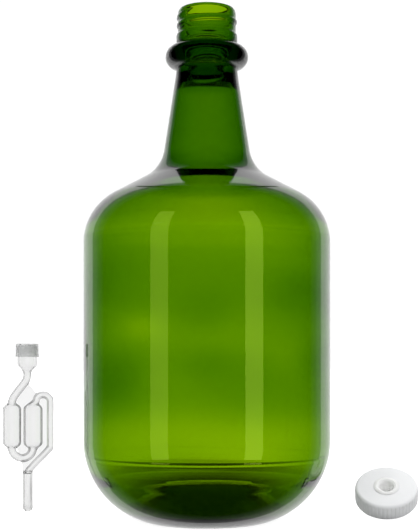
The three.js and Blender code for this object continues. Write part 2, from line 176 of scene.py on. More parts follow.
# Stage, in metres; a list of pairs is (place, brightness)
FLOOR_REACH = 12
FLOOR_WHITE, FLOOR_GLOW, BACKDROP = 0.6, 0.95, 1.05
# a painted shadow on the floor, seen only through the glass: an oval darkest behind the jug's foot, and its
# grey levels by distance
PAINTED_SHADOW_PLACE, PAINTED_SHADOW_STRETCH = (0, -0.06, 0), (1, 0.42, 1)
FLOOR_PAINTED_SHADOW = [(0.0, 0.05), (0.04, 0.06), (0.06, 0.2), (0.1, 0.65), (0.16, 1.0)]
FLAG_RADIUS, FLAG_BOTTOM, FLAG_TOP = 0.06, 0.262, 0.4
FILL_LIGHT, MIRRORED_CARD = 0.68, 1.1
MIRRORED = [(0.0, 0.0), (0.3, 0.0), (0.45, 0.1), (0.63, 0.38), (0.655, 1.0), (1.0, 1.0)]
THROUGH = [(0.0, 1.0), (0.4, 1.0), (0.52, 0.1), (0.6, 0.0), (1.0, 0.0)]
THROUGH_SIDE = [(0.0, 0.0), (0.3, 0.0), (0.6, 0.9), (1.0, 1.0)]
OVERHEAD_PLACE, OVERHEAD_SIZE, OVERHEAD_POWER = (0.1, -0.15, 1.3), (1.4, 1.0), 14
STRIP_TURN, STRIP_DISTANCE, STRIP_HEIGHT, STRIP_SIZE = 41.7, 1.1, 0.45, (0.32, 1.5)
STRIP_COLOUR, STRIP_POWERS = (0.74, 1.0, 0.105), {"left": 3.04, "right": 4.0}


# ---- Meshes ----------------------------------------------------------------------------------------------

def arc(r, z, radius, start, end, steps, squash=1.0):
    """Points of an arc in the (radius, height) plane; angles in degrees from the outward direction."""
    angles = np.radians(np.linspace(start, end, steps + 1))
    return [(r + radius * math.cos(a), z + radius * squash * math.sin(a)) for a in angles]


def finer(profile, step):
    """The same outline with no stretch longer than step between its points."""
    fine = [profile[0]]
    for (r0, z0), (r1, z1) in zip(profile, profile[1:]):
        pieces = max(1, math.ceil(math.hypot(r1 - r0, z1 - z0) / step))
        fine += [(r0 + (r1 - r0) * i / pieces, z0 + (z1 - z0) * i / pieces) for i in range(1, pieces + 1)]
    return fine


def softened(profile, radius, steps=3):
    """The outline with each inner corner cut to a small round of about that radius."""
    out = [profile[0]]
    for before, corner, after in zip(profile, profile[1:], profile[2:]):
        a, b, c = Vector(before), Vector(corner), Vector(after)
        reach = min(radius, (a - b).length / 2.2, (c - b).length / 2.2)
        start, end = b + (a - b).normalized() * reach, b + (c - b).normalized() * reach
        for i in range(steps + 1):
            t = i / steps
            out.append(tuple(start * (1 - t) ** 2 + b * (2 * t * (1 - t)) + end * t ** 2))
    out.append(profile[-1])
    return out


def mesh_object(name, vertices, faces, smooth_angle=None):
    """A mesh in metres from points in millimetres, shaded smooth."""
    mesh = bpy.data.meshes.new(name)
    mesh.from_pydata((np.asarray(vertices, float) * MM).tolist(), [], faces)
    mesh.validate()
    mesh.shade_smooth()
    obj = bpy.data.objects.new(name, mesh)
    bpy.context.scene.collection.objects.link(obj)
    if smooth_angle is not None:
        mesh.set_sharp_from_angle(angle=math.radians(smooth_angle))
    return obj


def turned(name, profile, angles, shift=None, closed=False):
    """Turns an outline of (radius, height) points about Z.

    It starts and ends on the axis, or closes on itself. shift(r, z, angle) moves each point outwards.
    """
    profile = np.array(profile, float)
    angles = np.asarray(angles, float)
    ends = not closed
    body = profile[1:-1] if ends else profile
    r, z = np.repeat(body[:, :1], len(angles), 1), np.repeat(body[:, 1:], len(angles), 1)
    turn = np.repeat(angles[None, :], len(body), 0)
    if shift is not None:
        r = r + shift(r, z, turn)
    vertices = np.stack([r * np.cos(turn), r * np.sin(turn), z], -1).reshape(-1, 3)
    rows, count = len(body), len(angles)
    faces = []
    for i in range(rows if closed else rows - 1):
        a, b = i * count, ((i + 1) % rows) * count
        for j in range(count):
            k = (j + 1) % count
            faces.append((a + j, a + k, b + k, b + j))
    if ends:
        first, last = len(vertices), len(vertices) + 1
        vertices = np.vstack([vertices, [0, 0, profile[0, 1]], [0, 0, profile[-1, 1]]])
        top = (rows - 1) * count
        for j in range(count):
            k = (j + 1) % count
            faces.append((first, k, j))
            faces.append((last, top + j, top + k))
    return mesh_object(name, vertices, faces)


def ridge(z, turn, depth, start, turns, half):
    """Height of a screw ridge at height z and angle turn: a rounded bank that climbs one pitch a turn."""
    total = np.zeros_like(z)
    for lap in range(math.ceil(turns) + 1):
        along = turn / (2 * math.pi) + lap
        inside = (along >= 0) & (along <= turns)
        fade = np.clip(np.minimum(along, turns - along) * 8, 0, 1)
        away = np.abs(z - start - along * THREAD_PITCH) / half
        # level over the middle fifth, with a smooth slope on each side
        bank = 0.5 - 0.5 * np.cos(math.pi * np.clip(1.25 - 1.25 * away, 0, 1))
        total = np.maximum(total, np.where(inside, depth * bank * fade, 0))
    return total


def bump_at(value, centre, width):
    """A smooth bell: one at the centre, and next to nothing at twice the width from it."""
    return np.exp(-(((value - centre) / width) ** 2))


# ---- Bottle ----------------------------------------------------------------------------------------------

def shoulder():
    """The centre of the fillet between shoulder and neck, and the neck's tapering radius by height."""
    lean, taper = math.radians(SHOULDER_ANGLE), math.radians(NECK_TAPER)
    top_r = BOTTLE_RADIUS - SHOULDER_RADIUS * (1 - math.cos(lean)) - SHOULDER_SLOPE * math.sin(lean)
    top_z = SHOULDER_START + SHOULDER_RADIUS * math.sin(lean) + SHOULDER_SLOPE * math.cos(lean)
    fillet = (top_r + NECK_FILLET * math.cos(lean), top_z + NECK_FILLET * math.sin(lean))
    foot = (fillet[0] - NECK_FILLET * math.cos(taper), fillet[1] - NECK_FILLET * math.sin(taper))
    return fillet, lambda z: foot[0] - (z - foot[1]) * math.tan(taper)


def bottle_outside():
    """The outline in four stretches: base and heel, body to ring, screw finish, and lip."""
    fillet, neck_radius = shoulder()
    heel_end = -math.degrees(math.asin(HEEL_TOP / HEEL_RADIUS))
    root = neck_radius(RING_HEIGHT - RING_HALF)
    width = RING_RADIUS - root
    punt = [(s * FOOT_INNER, PUNT_HEIGHT * (1 - s ** PUNT_POWER)) for s in np.linspace(0, 1, 26)]
    neck_end = neck_radius(RING_HEIGHT - RING_HALF - 2)
    lower = punt + [(FOOT_OUTER, 0)]
    lower += arc(BOTTLE_RADIUS - HEEL_RADIUS, HEEL_TOP, HEEL_RADIUS, heel_end + 1, 0, 26)
    upper = arc(BOTTLE_RADIUS - SHOULDER_RADIUS, SHOULDER_START, SHOULDER_RADIUS, 0, SHOULDER_ANGLE, 24)
    upper += arc(*fillet, NECK_FILLET, 180 + SHOULDER_ANGLE, 180 + NECK_TAPER, 20)
    upper += [(neck_end, RING_HEIGHT - RING_HALF - 2)]
    upper += arc(root, RING_HEIGHT, width, -78, 80, 24, RING_HALF / width)
    radii = (FINISH_RADIUS - 0.2, COLLAR_RADIUS, COLLAR_RADIUS, FINISH_RADIUS)
    finish = [(r, COLLAR_HEIGHT + step) for r, step in zip(radii, COLLAR_STEPS)]
    lip_foot = BOTTLE_HEIGHT - LIP_DROP
    finish = softened([upper[-1], *finish, (FINISH_RADIUS, lip_foot)], FINISH_ROUND)
    lip = arc(FINISH_RADIUS - LIP_WIDTH, lip_foot, LIP_WIDTH, 0, 90, 18, LIP_DROP / LIP_WIDTH)
    return lower, upper, finish[1:-1], lip


def bottle_inside():
    """The hollow's outline in four stretches, downwards: mouth, bore, neck to body, and heel and floor."""
    fillet, neck_radius = shoulder()
    lip = arc(BORE_RADIUS + BORE_ROUND, BOTTLE_HEIGHT - BORE_ROUND, BORE_ROUND, 90, 180, 5)
    bore = softened([lip[-1], *CHOKE, (neck_radius(NECK_TOP) - NECK_WALL, NECK_TOP)], CHOKE_ROUND, 5)
    # the outside from the body to the neck, point by point, with the glass growing thicker on the way up
    outside = arc(BOTTLE_RADIUS - SHOULDER_RADIUS, SHOULDER_START, SHOULDER_RADIUS, 0, SHOULDER_ANGLE, 30)
    outside += arc(*fillet, NECK_FILLET, 180 + SHOULDER_ANGLE, 180 + NECK_TAPER, 24)
    outside = finer(outside + [(neck_radius(NECK_TOP), NECK_TOP)], 2)
    heights, slopes = zip(*WALL_GROWTH)
    wall, down = GLASS_WALL, [(BOTTLE_RADIUS - GLASS_WALL, SHOULDER_START)]
    for (r0, z0), (r1, z1) in zip(outside, outside[1:]):
        length = math.hypot(r1 - r0, z1 - z0)
        wall += length * math.tan(math.radians(np.interp((z0 + z1) / 2, heights, slopes)))
        down.append(((r0 + r1) / 2 - wall * (z1 - z0) / length, (z0 + z1) / 2 + wall * (r1 - r0) / length))
    down.reverse()
    heel = arc(BOTTLE_RADIUS - HEEL_RADIUS, HEEL_TOP, HEEL_RADIUS - GLASS_WALL, 0, -60, 24)
    floor_r, floor_z = heel[-1]
    rise = PUNT_HEIGHT + BASE_THICKNESS - floor_z
    punt = [(s * floor_r, floor_z + rise * (1 - s ** PUNT_POWER)) for s in np.linspace(0.94, 0, 18)]
    # the floor's dome meets the heel in a narrow gutter
    base = softened([heel[-1], (floor_r - 1.5, floor_z + 0.6), punt[0]], 3, 5)
    return lip, bore[1:-1], down, heel[:-1] + base[:-1] + punt


def outside_relief(r, z, turn):
    """What stands out of the smooth outside: the thread and the marks of the mould."""
    out = np.where(z > COLLAR_HEIGHT + 3, ridge(z, np.mod(turn, 2 * math.pi), **NECK_THREAD), 0)
    for height in LEVEL_SEAMS:
        out = out + LEVEL_SEAM_RISE * bump_at(z, height, SEAM_WIDTH) * (r > HEEL_RADIUS)
    from_seam = np.abs(np.mod(turn + math.pi / 2, math.pi) - math.pi / 2) * r
    above_heel = (z > LEVEL_SEAMS[0]) * (z < COLLAR_HEIGHT - 4)
    out = out + UPRIGHT_SEAM_RISE * bump_at(from_seam, 0, SEAM_WIDTH) * above_heel
    ticks = 0.5 + 0.5 * np.cos(TICKS * turn)
    out = out + TICK_RISE * ticks * bump_at(z, TICK_HEIGHT, TICK_WIDTH) * (r > FOOT_OUTER - 0.5)
    for dot_turn, dot_z in HEEL_DOTS:
        near = np.hypot((turn - dot_turn) * r, z - dot_z)
        out = out + DOT_RISE * np.exp(-((near / DOT_RADIUS) ** 4))
    return out


def wall_wave(z, turn):
    """How much thicker or thinner the blown wall is than its nominal size, from place to place."""
    # the bands rise and fall a few millimetres on their way round
    lean = 6 * np.sin(turn + 0.6) + 3 * np.sin(2 * turn + 2.1)
    aside = np.abs(np.degrees(turn))
    blots = sum(more * bump_at(aside, t, wide) * bump_at(z, h, tall) for t, h, wide, tall, more in BLOTS)
    bands = sum(more * bump_at(z + tilt * lean, h, tall) for h, tall, more, tilt in BANDS)
    thin = THIN_HEEL / (1 + np.exp((z - THIN_HEEL_TOP) / THIN_HEEL_FADE)) * (z > 30)
    # and two slow ripples wind up the body
    return bands - thin + blots + 0.12 * np.sin(3 * turn + z / 23) + 0.08 * np.sin(5 * turn - z / 15 + 1)


def inside_relief(r, z, turn):
    """How far the inside is from smooth: the body's waves, the shoulder's sides and the neck's roll."""
    on_body = np.clip((r - 55) / 20, 0, 1) * np.clip((z - 24) / 12, 0, 1)
    roll = ROLL * bump_at(z, ROLL_HEIGHT - ROLL_TILT * np.cos(turn + ROLL_TURN), ROLL_WIDTH) * (r < 25)
    fade = np.clip((CREEP_TOP - z) / CREEP_FADE, 0, 1)
    creep = SIDE_CREEP * np.clip(z - CREEP_BOTTOM, 0, CREEP_RISE) * fade * np.cos(turn) ** 2
    return -wall_wave(z, turn) * on_body - roll - creep


def bottle_angles():
    """Even steps of two degrees round the bottle, with finer ones where the heel dots are."""
    even = np.radians(np.arange(0, 360, 2) - 180)
    dots = {round(turn, 6) for turn, height in HEEL_DOTS}
    fine = [turn + math.radians(away) for turn in dots for away in np.arange(-1.6, 1.61, 0.4)]
    every = np.unique(np.round(np.concatenate([even, fine]), 5))
    return every[np.concatenate([[True], np.diff(every) > math.radians(0.15)])]


def closer_rows(profile, height, reach, step):
    """The outside's outline with rows at most step apart within reach of that height."""
    out = [profile[0]]
    for (r0, z0), (r1, z1) in zip(profile, profile[1:]):
        near = r0 > FOOT_INNER + 1 and min(z0, z1) < height + reach and max(z0, z1) > height - reach
        out += finer([(r0, z0), (r1, z1)], step)[1:] if near else [(r1, z1)]
    return out


def make_bottle():
    lower, upper, finish, lip = bottle_outside()
    rim, bore, down, floor = bottle_inside()
    outside = finer([*lower, *upper], 8)
    for height, reach, step in CLOSE_ROWS:
        outside = closer_rows(outside, height, reach, step)
    outer = outside + finer([*finish, lip[0]], 0.6)[:-1] + lip
    body = finer([down[-1], floor[0]], 5)[1:-1]
    inner = rim[1:] + finer(bore, 4) + finer(down, 4)[1:] + body + finer(floor, 4)
    split_at = len(outer) - 1

    def relief(r, z, turn):
        out = np.zeros_like(r)
        # rows of the body array are one behind the profile's, because the first point is on the axis
        out[:split_at] = outside_relief(r[:split_at], z[:split_at], turn[:split_at])
        out[split_at:] = inside_relief(r[split_at:], z[split_at:], turn[split_at:])
        return out

    return turned("glass_bottle", outer + inner, bottle_angles(), relief)


# ---- Cap, upright about Z, then leaned back to where the cap's own joint puts it -------------------------

def cap_place():
    """Where the cap lies: the turning joint stands on the middle of its open edge, along its axis."""
    joint = next(j for j in frame["joints"] if j["name"] == "cap_turn")
    axis = Vector(joint["axis"]).normalized()
    lean, yaw = math.acos(axis.z), math.atan2(axis.x, -axis.y)
    return Matrix.Translation(joint["pos_m"]) @ Matrix.Rotation(yaw, 4, "Z") @ Matrix.Rotation(lean, 4, "X")


def even_angles(count):
    """That many directions round a full turn."""
    return np.arange(count) * 2 * math.pi / count


def make_cap_shell():
    plate_under, wall = CAP_HEIGHT - CAP_PLATE, CAP_RADIUS
    outer = [(CAP_BORE + 0.2, 0), (wall, 0), (wall, CAP_HEIGHT), (CAP_HOLE, CAP_HEIGHT)]
    inner = [(CAP_HOLE, plate_under), (CAP_BORE, plate_under), (CAP_BORE, 0)]
    skirt = softened([outer[0], outer[1], (wall, 4)], CAP_FOOT_ROUND, 5)[:-1]
    skirt += arc(wall - CAP_EDGE_ROUND, CAP_HEIGHT - CAP_EDGE_ROUND, CAP_EDGE_ROUND, 0, 90, 14)
    hole_edge = [(wall - 5, CAP_HEIGHT), outer[3], inner[0], (CAP_HOLE + 4, plate_under)]
    hole = softened(hole_edge, CAP_HOLE_ROUND, 4)
    under = softened([hole_edge[-1], inner[1], inner[2], outer[0]], CAP_INNER_ROUND, 4)
    profile = finer(skirt + hole + under[1:-1], 0.8)

    def relief(r, z, turn):
        groove = bump_at(np.sin(CAP_RIBS / 2 * turn), 0, CAP_GROOVE_WIDTH)
        # the grooves between the ribs run out above the skirt's foot and below the top's round edge
        rise = np.clip(z / 1.2, 0, 1) * np.clip((CAP_HEIGHT - 1.0 - z) / 1.6, 0, 1)
        outside = r > CAP_BORE + 0.4
        ribs = -CAP_RIB_DEPTH * groove * rise * outside
        thread = -ridge(z, np.mod(turn, 2 * math.pi), **CAP_THREAD) * (np.abs(r - CAP_BORE) < 0.15)
        return ribs + thread

    return turned("cap_shell", profile, even_angles(CAP_RIBS * 10), relief, closed=True)


def make_liner():
    # the outline starts part of the way along its lower face
    start = (15, LINER_BOTTOM)
    corners = [
        (LINER_RADIUS, LINER_BOTTOM),
        (LINER_RADIUS, LINER_TOP),
        (LINER_INNER, LINER_TOP),
        (LINER_INNER, LINER_BOTTOM),
    ]
    ring = softened([start, *corners, start], LINER_ROUND, 4)
    liner = turned("liner_washer", finer(ring[:-1], 0.6), even_angles(160), closed=True)
    # the lip of the bottle has pressed a shallow groove into its face
    for vertex in liner.data.vertices:
        r, z = math.hypot(vertex.co.x, vertex.co.y) / MM, vertex.co.z / MM
        if z < LINER_BOTTOM + 0.4:
            vertex.co.z += LIP_MARK_DEPTH * bump_at(r, LIP_MARK_RADIUS, LIP_MARK_WIDTH) * MM
    return liner


def make_grommet():
    plate_top, plate_under = CAP_HEIGHT + GROMMET_GAP, CAP_HEIGHT - CAP_PLATE - GROMMET_GAP
    neck = CAP_HOLE - GROMMET_GAP
    corners = [
        (GROMMET_GRIP_BORE + 0.3, GROMMET_TIP),
        (GROMMET_GRIP_BORE + 1.6, GROMMET_TIP),
        (neck, LINER_BOTTOM),
        (GROMMET_FOOT, LINER_BOTTOM + 0.3),
        (GROMMET_FOOT, plate_under),
        (neck, plate_under),
        (neck, plate_top),
        (GROMMET_FLANGE, plate_top),
        (GROMMET_FLANGE - 1.9, GROMMET_CROWN - 0.1),
        (GROMMET_TOP_BORE + 0.8, GROMMET_CROWN),
        (GROMMET_TOP_BORE - 0.6, GROMMET_CROWN - 1.2),
        (GROMMET_GRIP_BORE + 1.3, LINER_BOTTOM - 0.6),
        (GROMMET_GRIP_BORE, GRIP_BOTTOM),
    ]
    start = ((corners[0][0] + corners[1][0]) / 2, GROMMET_TIP)
    ring = softened([start, *corners[1:], corners[0], start], GROMMET_ROUND, 6)[:-1]

    def grip_rings(r, z, turn):
        # soft lips inside the bore that grip the airlock's stem
        heights = [GRIP_BOTTOM + GRIP_LIP_GAP * i for i in range(GRIP_LIPS)]
        lips = sum(bump_at(z, height, GRIP_LIP_WIDTH) for height in heights)
        return -GRIP_LIP_RISE * lips * (r < GROMMET_GRIP_BORE + 1.1)

    return turned("stem_collar", finer(ring, 0.35), even_angles(144), grip_rings, closed=True)


# ---- Airlock, as a distance field turned into two half shells --------------------------------------------

def soft_min(a, b, k):
    """The smaller of two distances, with a fillet of about k where they cross."""
    h = np.clip(0.5 + 0.5 * (b - a) / k, 0, 1)
    return b + (a - b) * h - k * h * (1 - h)


def soft_max(a, b, k):
    """The larger of two distances, with a round of about k where they cross."""
    return -soft_min(-a, -b, k)


def route(points, step=1.0):
    """A smooth route through (u, v) points: a Catmull-Rom curve, cut into short straight lengths."""
    points = [np.array(p, float) for p in points]
    points = [2 * points[0] - points[1], *points, 2 * points[-1] - points[-2]]
    out = [points[1]]
    for p0, p1, p2, p3 in zip(points, points[1:], points[2:], points[3:]):
        pieces = max(2, math.ceil(np.linalg.norm(p2 - p1) / step))
        for t in np.linspace(0, 1, pieces + 1)[1:]:
            a = 2 * p1 + (p2 - p0) * t + (2 * p0 - 5 * p1 + 4 * p2 - p3) * t ** 2
            out.append((a + (3 * p1 - p0 - 3 * p2 + p3) * t ** 3) / 2)
    return out


def tube_field(u, v, w, path, radius):
    """Signed distance to a round tube along a route in the airlock's plane."""
    nearest = np.full(u.shape, 1e6)
    for a, b in zip(path, path[1:]):
        run_u, run_v = b - a
        along = ((u - a[0]) * run_u + (v - a[1]) * run_v) / (run_u ** 2 + run_v ** 2)
        along = np.clip(along, 0, 1)
        du, dv = u - a[0] - along * run_u, v - a[1] - along * run_v
        nearest = np.minimum(nearest, du ** 2 + dv ** 2)
    return np.sqrt(nearest + w ** 2) - radius


def flat_field(u, v, outline):
    """Signed distance to a flat outline in the airlock's plane."""
    nearest = np.full(u.shape, 1e6)
    inside = np.zeros(u.shape, bool)
    for (au, av), (bu, bv) in zip(outline, outline[1:] + outline[:1]):
        eu, ev = bu - au, bv - av
        along = np.clip(((u - au) * eu + (v - av) * ev) / (eu ** 2 + ev ** 2), 0, 1)
        nearest = np.minimum(nearest, (u - au - along * eu) ** 2 + (v - av - along * ev) ** 2)
        crosses = (av > v) != (bv > v)
        inside ^= crosses & (u < au + (v - av) * eu / (ev if ev else 1e-9))
    return np.where(inside, -1, 1) * np.sqrt(nearest)


def airlock_round_field(u, v, w, inset):
    """Everything round in the airlock, drawn inset smaller than its outside."""
    link, riser = LINK_RADIUS - inset, TUBE_RADIUS - inset
    # the hollow runs on above the cup's rim, which leaves the cup open
    over = 3 if inset else 0
    middle, reach = (LEFT_CHAMBER_U + RIGHT_CHAMBER_U) / 2, (RIGHT_CHAMBER_U - LEFT_CHAMBER_U) / 2

    def chamber(centre):
        r = np.hypot(u - centre, w)
        half = (CHAMBER_TOP - CHAMBER_BOTTOM) / 2
        away = np.abs(v - (CHAMBER_TOP + CHAMBER_BOTTOM) / 2) - half
        out, along = CHAMBER_CONE
        cone = (r - CHAMBER_RADIUS + inset) * out + away * along
        return soft_max(soft_max(r - CHAMBER_RADIUS + inset, cone, 1.6), away - 5 + inset, 1)

    def cup():
        r = np.hypot(u - CUP_U, w)
        out, along = CUP_SLOPE
        cone = (r - CUP_RADIUS + inset) * out + (CUP_BOTTOM + CUP_CONE - v) * along
        ends = np.maximum(v - CUP_TOP - over, CUP_BOTTOM - v)
        return np.maximum(soft_max(r - CUP_RADIUS + inset, cone, 1.2), ends)

    def stem():
        r = np.hypot(u, w)
        if inset:
            # the bore narrows towards the rounded tip
            bore = STEM_RADIUS - inset - 1.2 * np.clip(1 - v / 5, 0, 1)
            return np.maximum(r - bore, v - STEM_LENGTH + inset)
        return soft_max(soft_max(r - STEM_RADIUS, -v, 3.4), v - STEM_LENGTH, 1)

    bend_u, bend_v, bend_radius = TOP_BEND
    bend_shift = (RISER_U - bend_u - bend_radius) / 2
    riser_route = route([
        (0, STEM_LENGTH - 3),
        (0.3, STEM_LENGTH),
        (1.9, STEM_LENGTH + 2.6),
        (RISER_U / 2, (STEM_LENGTH + RISER_BOTTOM) / 2),
        (RISER_U - 1.5, RISER_BOTTOM - 2),
        (RISER_U, RISER_BOTTOM + 1.6),
        (RISER_U, (RISER_BOTTOM + bend_v) / 2),
        *arc(bend_u + bend_shift, bend_v, bend_radius + bend_shift, 0, 180, 6),
        (RIGHT_CHAMBER_U + 0.6, CHAMBER_TOP + 2),
    ])
    bottom_route = route([
        (LEFT_CHAMBER_U, CHAMBER_BOTTOM),
        *arc(middle, CHAMBER_BOTTOM - 2.6, reach, 180, 360, 8),
        (RIGHT_CHAMBER_U, CHAMBER_BOTTOM),
    ])
    cup_route = route([
        (LEFT_CHAMBER_U, CHAMBER_TOP),
        (LEFT_CHAMBER_U + 0.3, CHAMBER_TOP + 5),
        (LEFT_CHAMBER_U + 2.4, CHAMBER_TOP + 9.4),
        (CUP_U - 2.2, CUP_BOTTOM - 8.6),
        (CUP_U - 0.2, CUP_BOTTOM - 4.6),
        (CUP_U, CUP_BOTTOM + 1),
    ])
    field = stem()
    fillet = 0.9 if inset else 1.4
    for other in (
        chamber(LEFT_CHAMBER_U),
        chamber(RIGHT_CHAMBER_U),
        cup(),
        tube_field(u, v, w, riser_route, riser),
        tube_field(u, v, w, bottom_route, link),
        tube_field(u, v, w, cup_route, link),
    ):
        field = soft_min(field, other, fillet)
    return field


# the thin web between the tubes, in the airlock's plane
WEB_OUTLINE = [
    (-STEM_RADIUS, STEM_LENGTH - 1),
    (-4.4, 39),
    (LEFT_CHAMBER_U + 4, CHAMBER_BOTTOM - 2),
    (LEFT_CHAMBER_U + 4, CHAMBER_TOP + 3),
    (LEFT_CHAMBER_U + 2, CHAMBER_TOP + 9),
    (CUP_U - 1, CUP_BOTTOM - 8),
    (3.4, CUP_BOTTOM - 13),
    (7, 89),
    (RISER_U - 1, 86),
    (RISER_U, RISER_BOTTOM),
    (0.5, STEM_LENGTH),
]


def airlock_field(u, v, w):
    """The whole airlock: its round parts, web and flash, less its hollow."""
    outer = airlock_round_field(u, v, w, 0)
    web = soft_max(flat_field(u, v, WEB_OUTLINE), np.abs(w) - WEB_HALF, 0.4)
    outer = soft_min(outer, web, 1.0)
    # the weld's thin flash stands a little proud of the outline, except round the cup and at the stem's tip
    middle = np.argmin(np.abs(w[0, 0]))
    outline = np.repeat(outer[:, :, middle:middle + 1], w.shape[2], 2)
    flash = soft_max(outline - SEAM_FLASH, np.abs(w) - SEAM_THICKNESS / 2, 0.3)
    flash = np.maximum(flash, np.maximum(v - CUP_BOTTOM - 1, 1 - v))
    outer = soft_min(outer, flash, 0.4)
    return np.maximum(outer, -airlock_round_field(u, v, w, AIRLOCK_WALL))


def surface_net(field, origin, step):
    """A quad mesh of where the field crosses zero, with one point in each crossing cell."""
    inside = field < 0
    total = np.zeros(tuple(n - 1 for n in field.shape) + (3,))
    count = np.zeros(total.shape[:3])
    cells = total.shape[:3]
    for axis in range(3):
        low = [slice(None)] * 3
        high = [slice(None)] * 3
        low[axis], high[axis] = slice(0, -1), slice(1, None)
        a, b = field[tuple(low)], field[tuple(high)]
        crossing = (a < 0) != (b < 0)
        place = np.where(crossing, a / np.where(crossing, a - b, 1), 0)
        others = [k for k in range(3) if k != axis]
        for i in (0, 1):
            for j in (0, 1):
                part = [slice(0, cells[axis])] * 3
                part[others[0]] = slice(i, i + cells[others[0]])
                part[others[1]] = slice(j, j + cells[others[1]])
                part = tuple(part)
                hit = crossing[part]
                count += hit
                total[..., axis] += place[part] * hit
                total[..., others[0]] += i * hit
                total[..., others[1]] += j * hit
    used = count > 0
    index = np.full(cells, -1)
    index[used] = np.arange(used.sum())
    corner = np.argwhere(used)
    points = (corner + total[used] / count[used][:, None]) * step + origin
    faces = []
    for axis in range(3):
        one, two = [k for k in range(3) if k != axis]
        low = [slice(1, -1)] * 3
        high = [slice(1, -1)] * 3
        low[axis], high[axis] = slice(0, -1), slice(1, None)
        a, b = inside[tuple(low)], inside[tuple(high)]
        for flip in (False, True):
            found = np.argwhere((a & ~b) if flip else (b & ~a))
            found[:, one] += 1
            found[:, two] += 1
            quad = []
            for back in ((0, 0), (1, 0), (1, 1), (0, 1)):
                where = found.copy()
                where[:, one] -= back[0]
                where[:, two] -= back[1]
                quad.append(index[where[:, 0], where[:, 1], where[:, 2]])
            quad = np.stack(quad, 1)
            faces.append(quad[:, ::-1] if flip == (axis == 1) else quad)
    return points, np.concatenate(faces)


def make_airlock_half(name, side):
    step = NET_STEP
    u, v, w = np.meshgrid(*[np.arange(low, high, step) for low, high in NET_RANGES], indexing="ij")
    field = np.maximum(airlock_field(u, v, w), w + SEAM_GAP / 2)
    points, faces = surface_net(field, np.array([low for low, high in NET_RANGES]), step)
    # the seam's face is made truly flat
    flat = points[:, 2] > -SEAM_GAP / 2 - 0.3 * step
    points[flat, 2] = -SEAM_GAP / 2
    points = np.stack([points[:, 0] + AIRLOCK_X, AIRLOCK_Y - side * points[:, 2], points[:, 1]], 1)
    if side < 0:
        faces = faces[:, ::-1]
    return mesh_object(name, points, faces.tolist(), smooth_angle=50)


def make_lid():
    inner, under = LID_RADIUS - LID_WALL, LID_TOP - LID_PLATE
    corners = [
        (LID_RADIUS, LID_BOTTOM),
        (LID_RADIUS, LID_BOTTOM + 1.3),
        (LID_RADIUS - 0.25, LID_BOTTOM + 1.7),
        (LID_RADIUS - 0.35, LID_TOP),
        (LID_RADIUS - 2.2, LID_TOP),
        (LID_RADIUS - 2.6, LID_TOP - LID_DISH),
        (0, LID_TOP - LID_DISH),
    ]
    inside = [(0, under), (inner, under), (inner, LID_BOTTOM)]
    start = ((LID_RADIUS + inner) / 2, LID_BOTTOM)
    top = softened([start, *corners], LID_ROUND, 4)
    below = softened([*inside, start], LID_ROUND, 4)[:-1]
    profile = finer(top, 0.5) + finer(below, 0.5)
    lid = turned("dust_lid", profile, even_angles(96), closed=True)
    hole = [(0, under - 1), (VENT_RADIUS, under - 1), (VENT_RADIUS, LID_TOP + 1), (0, LID_TOP + 1)]
    cutters = []
    for i in range(LID_VENTS):
        angle = (i + VENT_START) * 2 * math.pi / LID_VENTS
        aside = (VENT_REACH * math.cos(angle) * MM, VENT_REACH * math.sin(angle) * MM, 0)
        cutter = turned("vent_cutter", hole, even_angles(24))
        cutter.data.transform(Matrix.Translation(aside))
        cut = lid.modifiers.new("vent", "BOOLEAN")
        cut.object, cut.operation, cut.solver = cutter, "DIFFERENCE", "EXACT"
        cutters.append(cutter)
    made = bpy.data.meshes.new_from_object(lid.evaluated_get(bpy.context.evaluated_depsgraph_get()))
    lid.modifiers.clear()
    lid.data = made
    for cutter in cutters:
        bpy.data.objects.remove(cutter)
    made.transform(Matrix.Translation(((AIRLOCK_X + CUP_U) * MM, AIRLOCK_Y * MM, 0)))
    made.shade_smooth()
    made.set_sharp_from_angle(angle=math.radians(40))
    return lid


# ---- Materials -------------------------------------------------------------------------------------------

def new_material(name):
    """A new material with its node tree, its shader and its output."""
    material = bpy.data.materials.new(name)
    material.use_nodes = True
    tree = material.node_tree
    return material, tree, tree.nodes["Principled BSDF"], tree.nodes["Material Output"]


def noise(tree, scale, detail, stretch=(1, 1, 1)):
    """A cloudy texture that keeps its place on the piece; scale counts its lumps in a metre."""
    place = tree.nodes.new("ShaderNodeTexCoord")
    mapping = tree.nodes.new("ShaderNodeMapping")
    mapping.inputs["Scale"].default_value = stretch
    texture = tree.nodes.new("ShaderNodeTexNoise")
    texture.inputs["Scale"].default_value = scale
    texture.inputs["Detail"].default_value = detail
    tree.links.new(place.outputs["Object"], mapping.inputs["Vector"])
    tree.links.new(mapping.outputs["Vector"], texture.inputs["Vector"])
    return texture


def add_bump(tree, shader, texture, strength, distance):
    """Fine relief that follows the texture, distance metres deep at full strength."""
    bump = tree.nodes.new("ShaderNodeBump")
    bump.inputs["Strength"].default_value = strength
    bump.inputs["Distance"].default_value = distance
    tree.links.new(texture.outputs["Fac"], bump.inputs["Height"])
    tree.links.new(bump.outputs["Normal"], shader.inputs["Normal"])


def add_tint(tree, shader, texture, darker, lighter, start=0, end=1):
    """A base colour that wavers between two colours, as the texture goes from start to end."""
    tint = tree.nodes.new("ShaderNodeValToRGB")
    for element, place, colour in zip(tint.color_ramp.elements, (start, end), (darker, lighter)):
        element.position = place
        element.color = (*colour, 1)
    tree.links.new(texture.outputs["Fac"], tint.inputs["Fac"])
    tree.links.new(tint.outputs["Color"], shader.inputs["Base Color"])


def add_absorption(tree, output, colour, density):
    """Light lost on its way through the piece."""
    absorb = tree.nodes.new("ShaderNodeVolumeAbsorption")
    absorb.inputs["Color"].default_value = (*colour, 1)
    absorb.inputs["Density"].default_value = density
    tree.links.new(absorb.outputs["Volume"], output.inputs["Volume"])


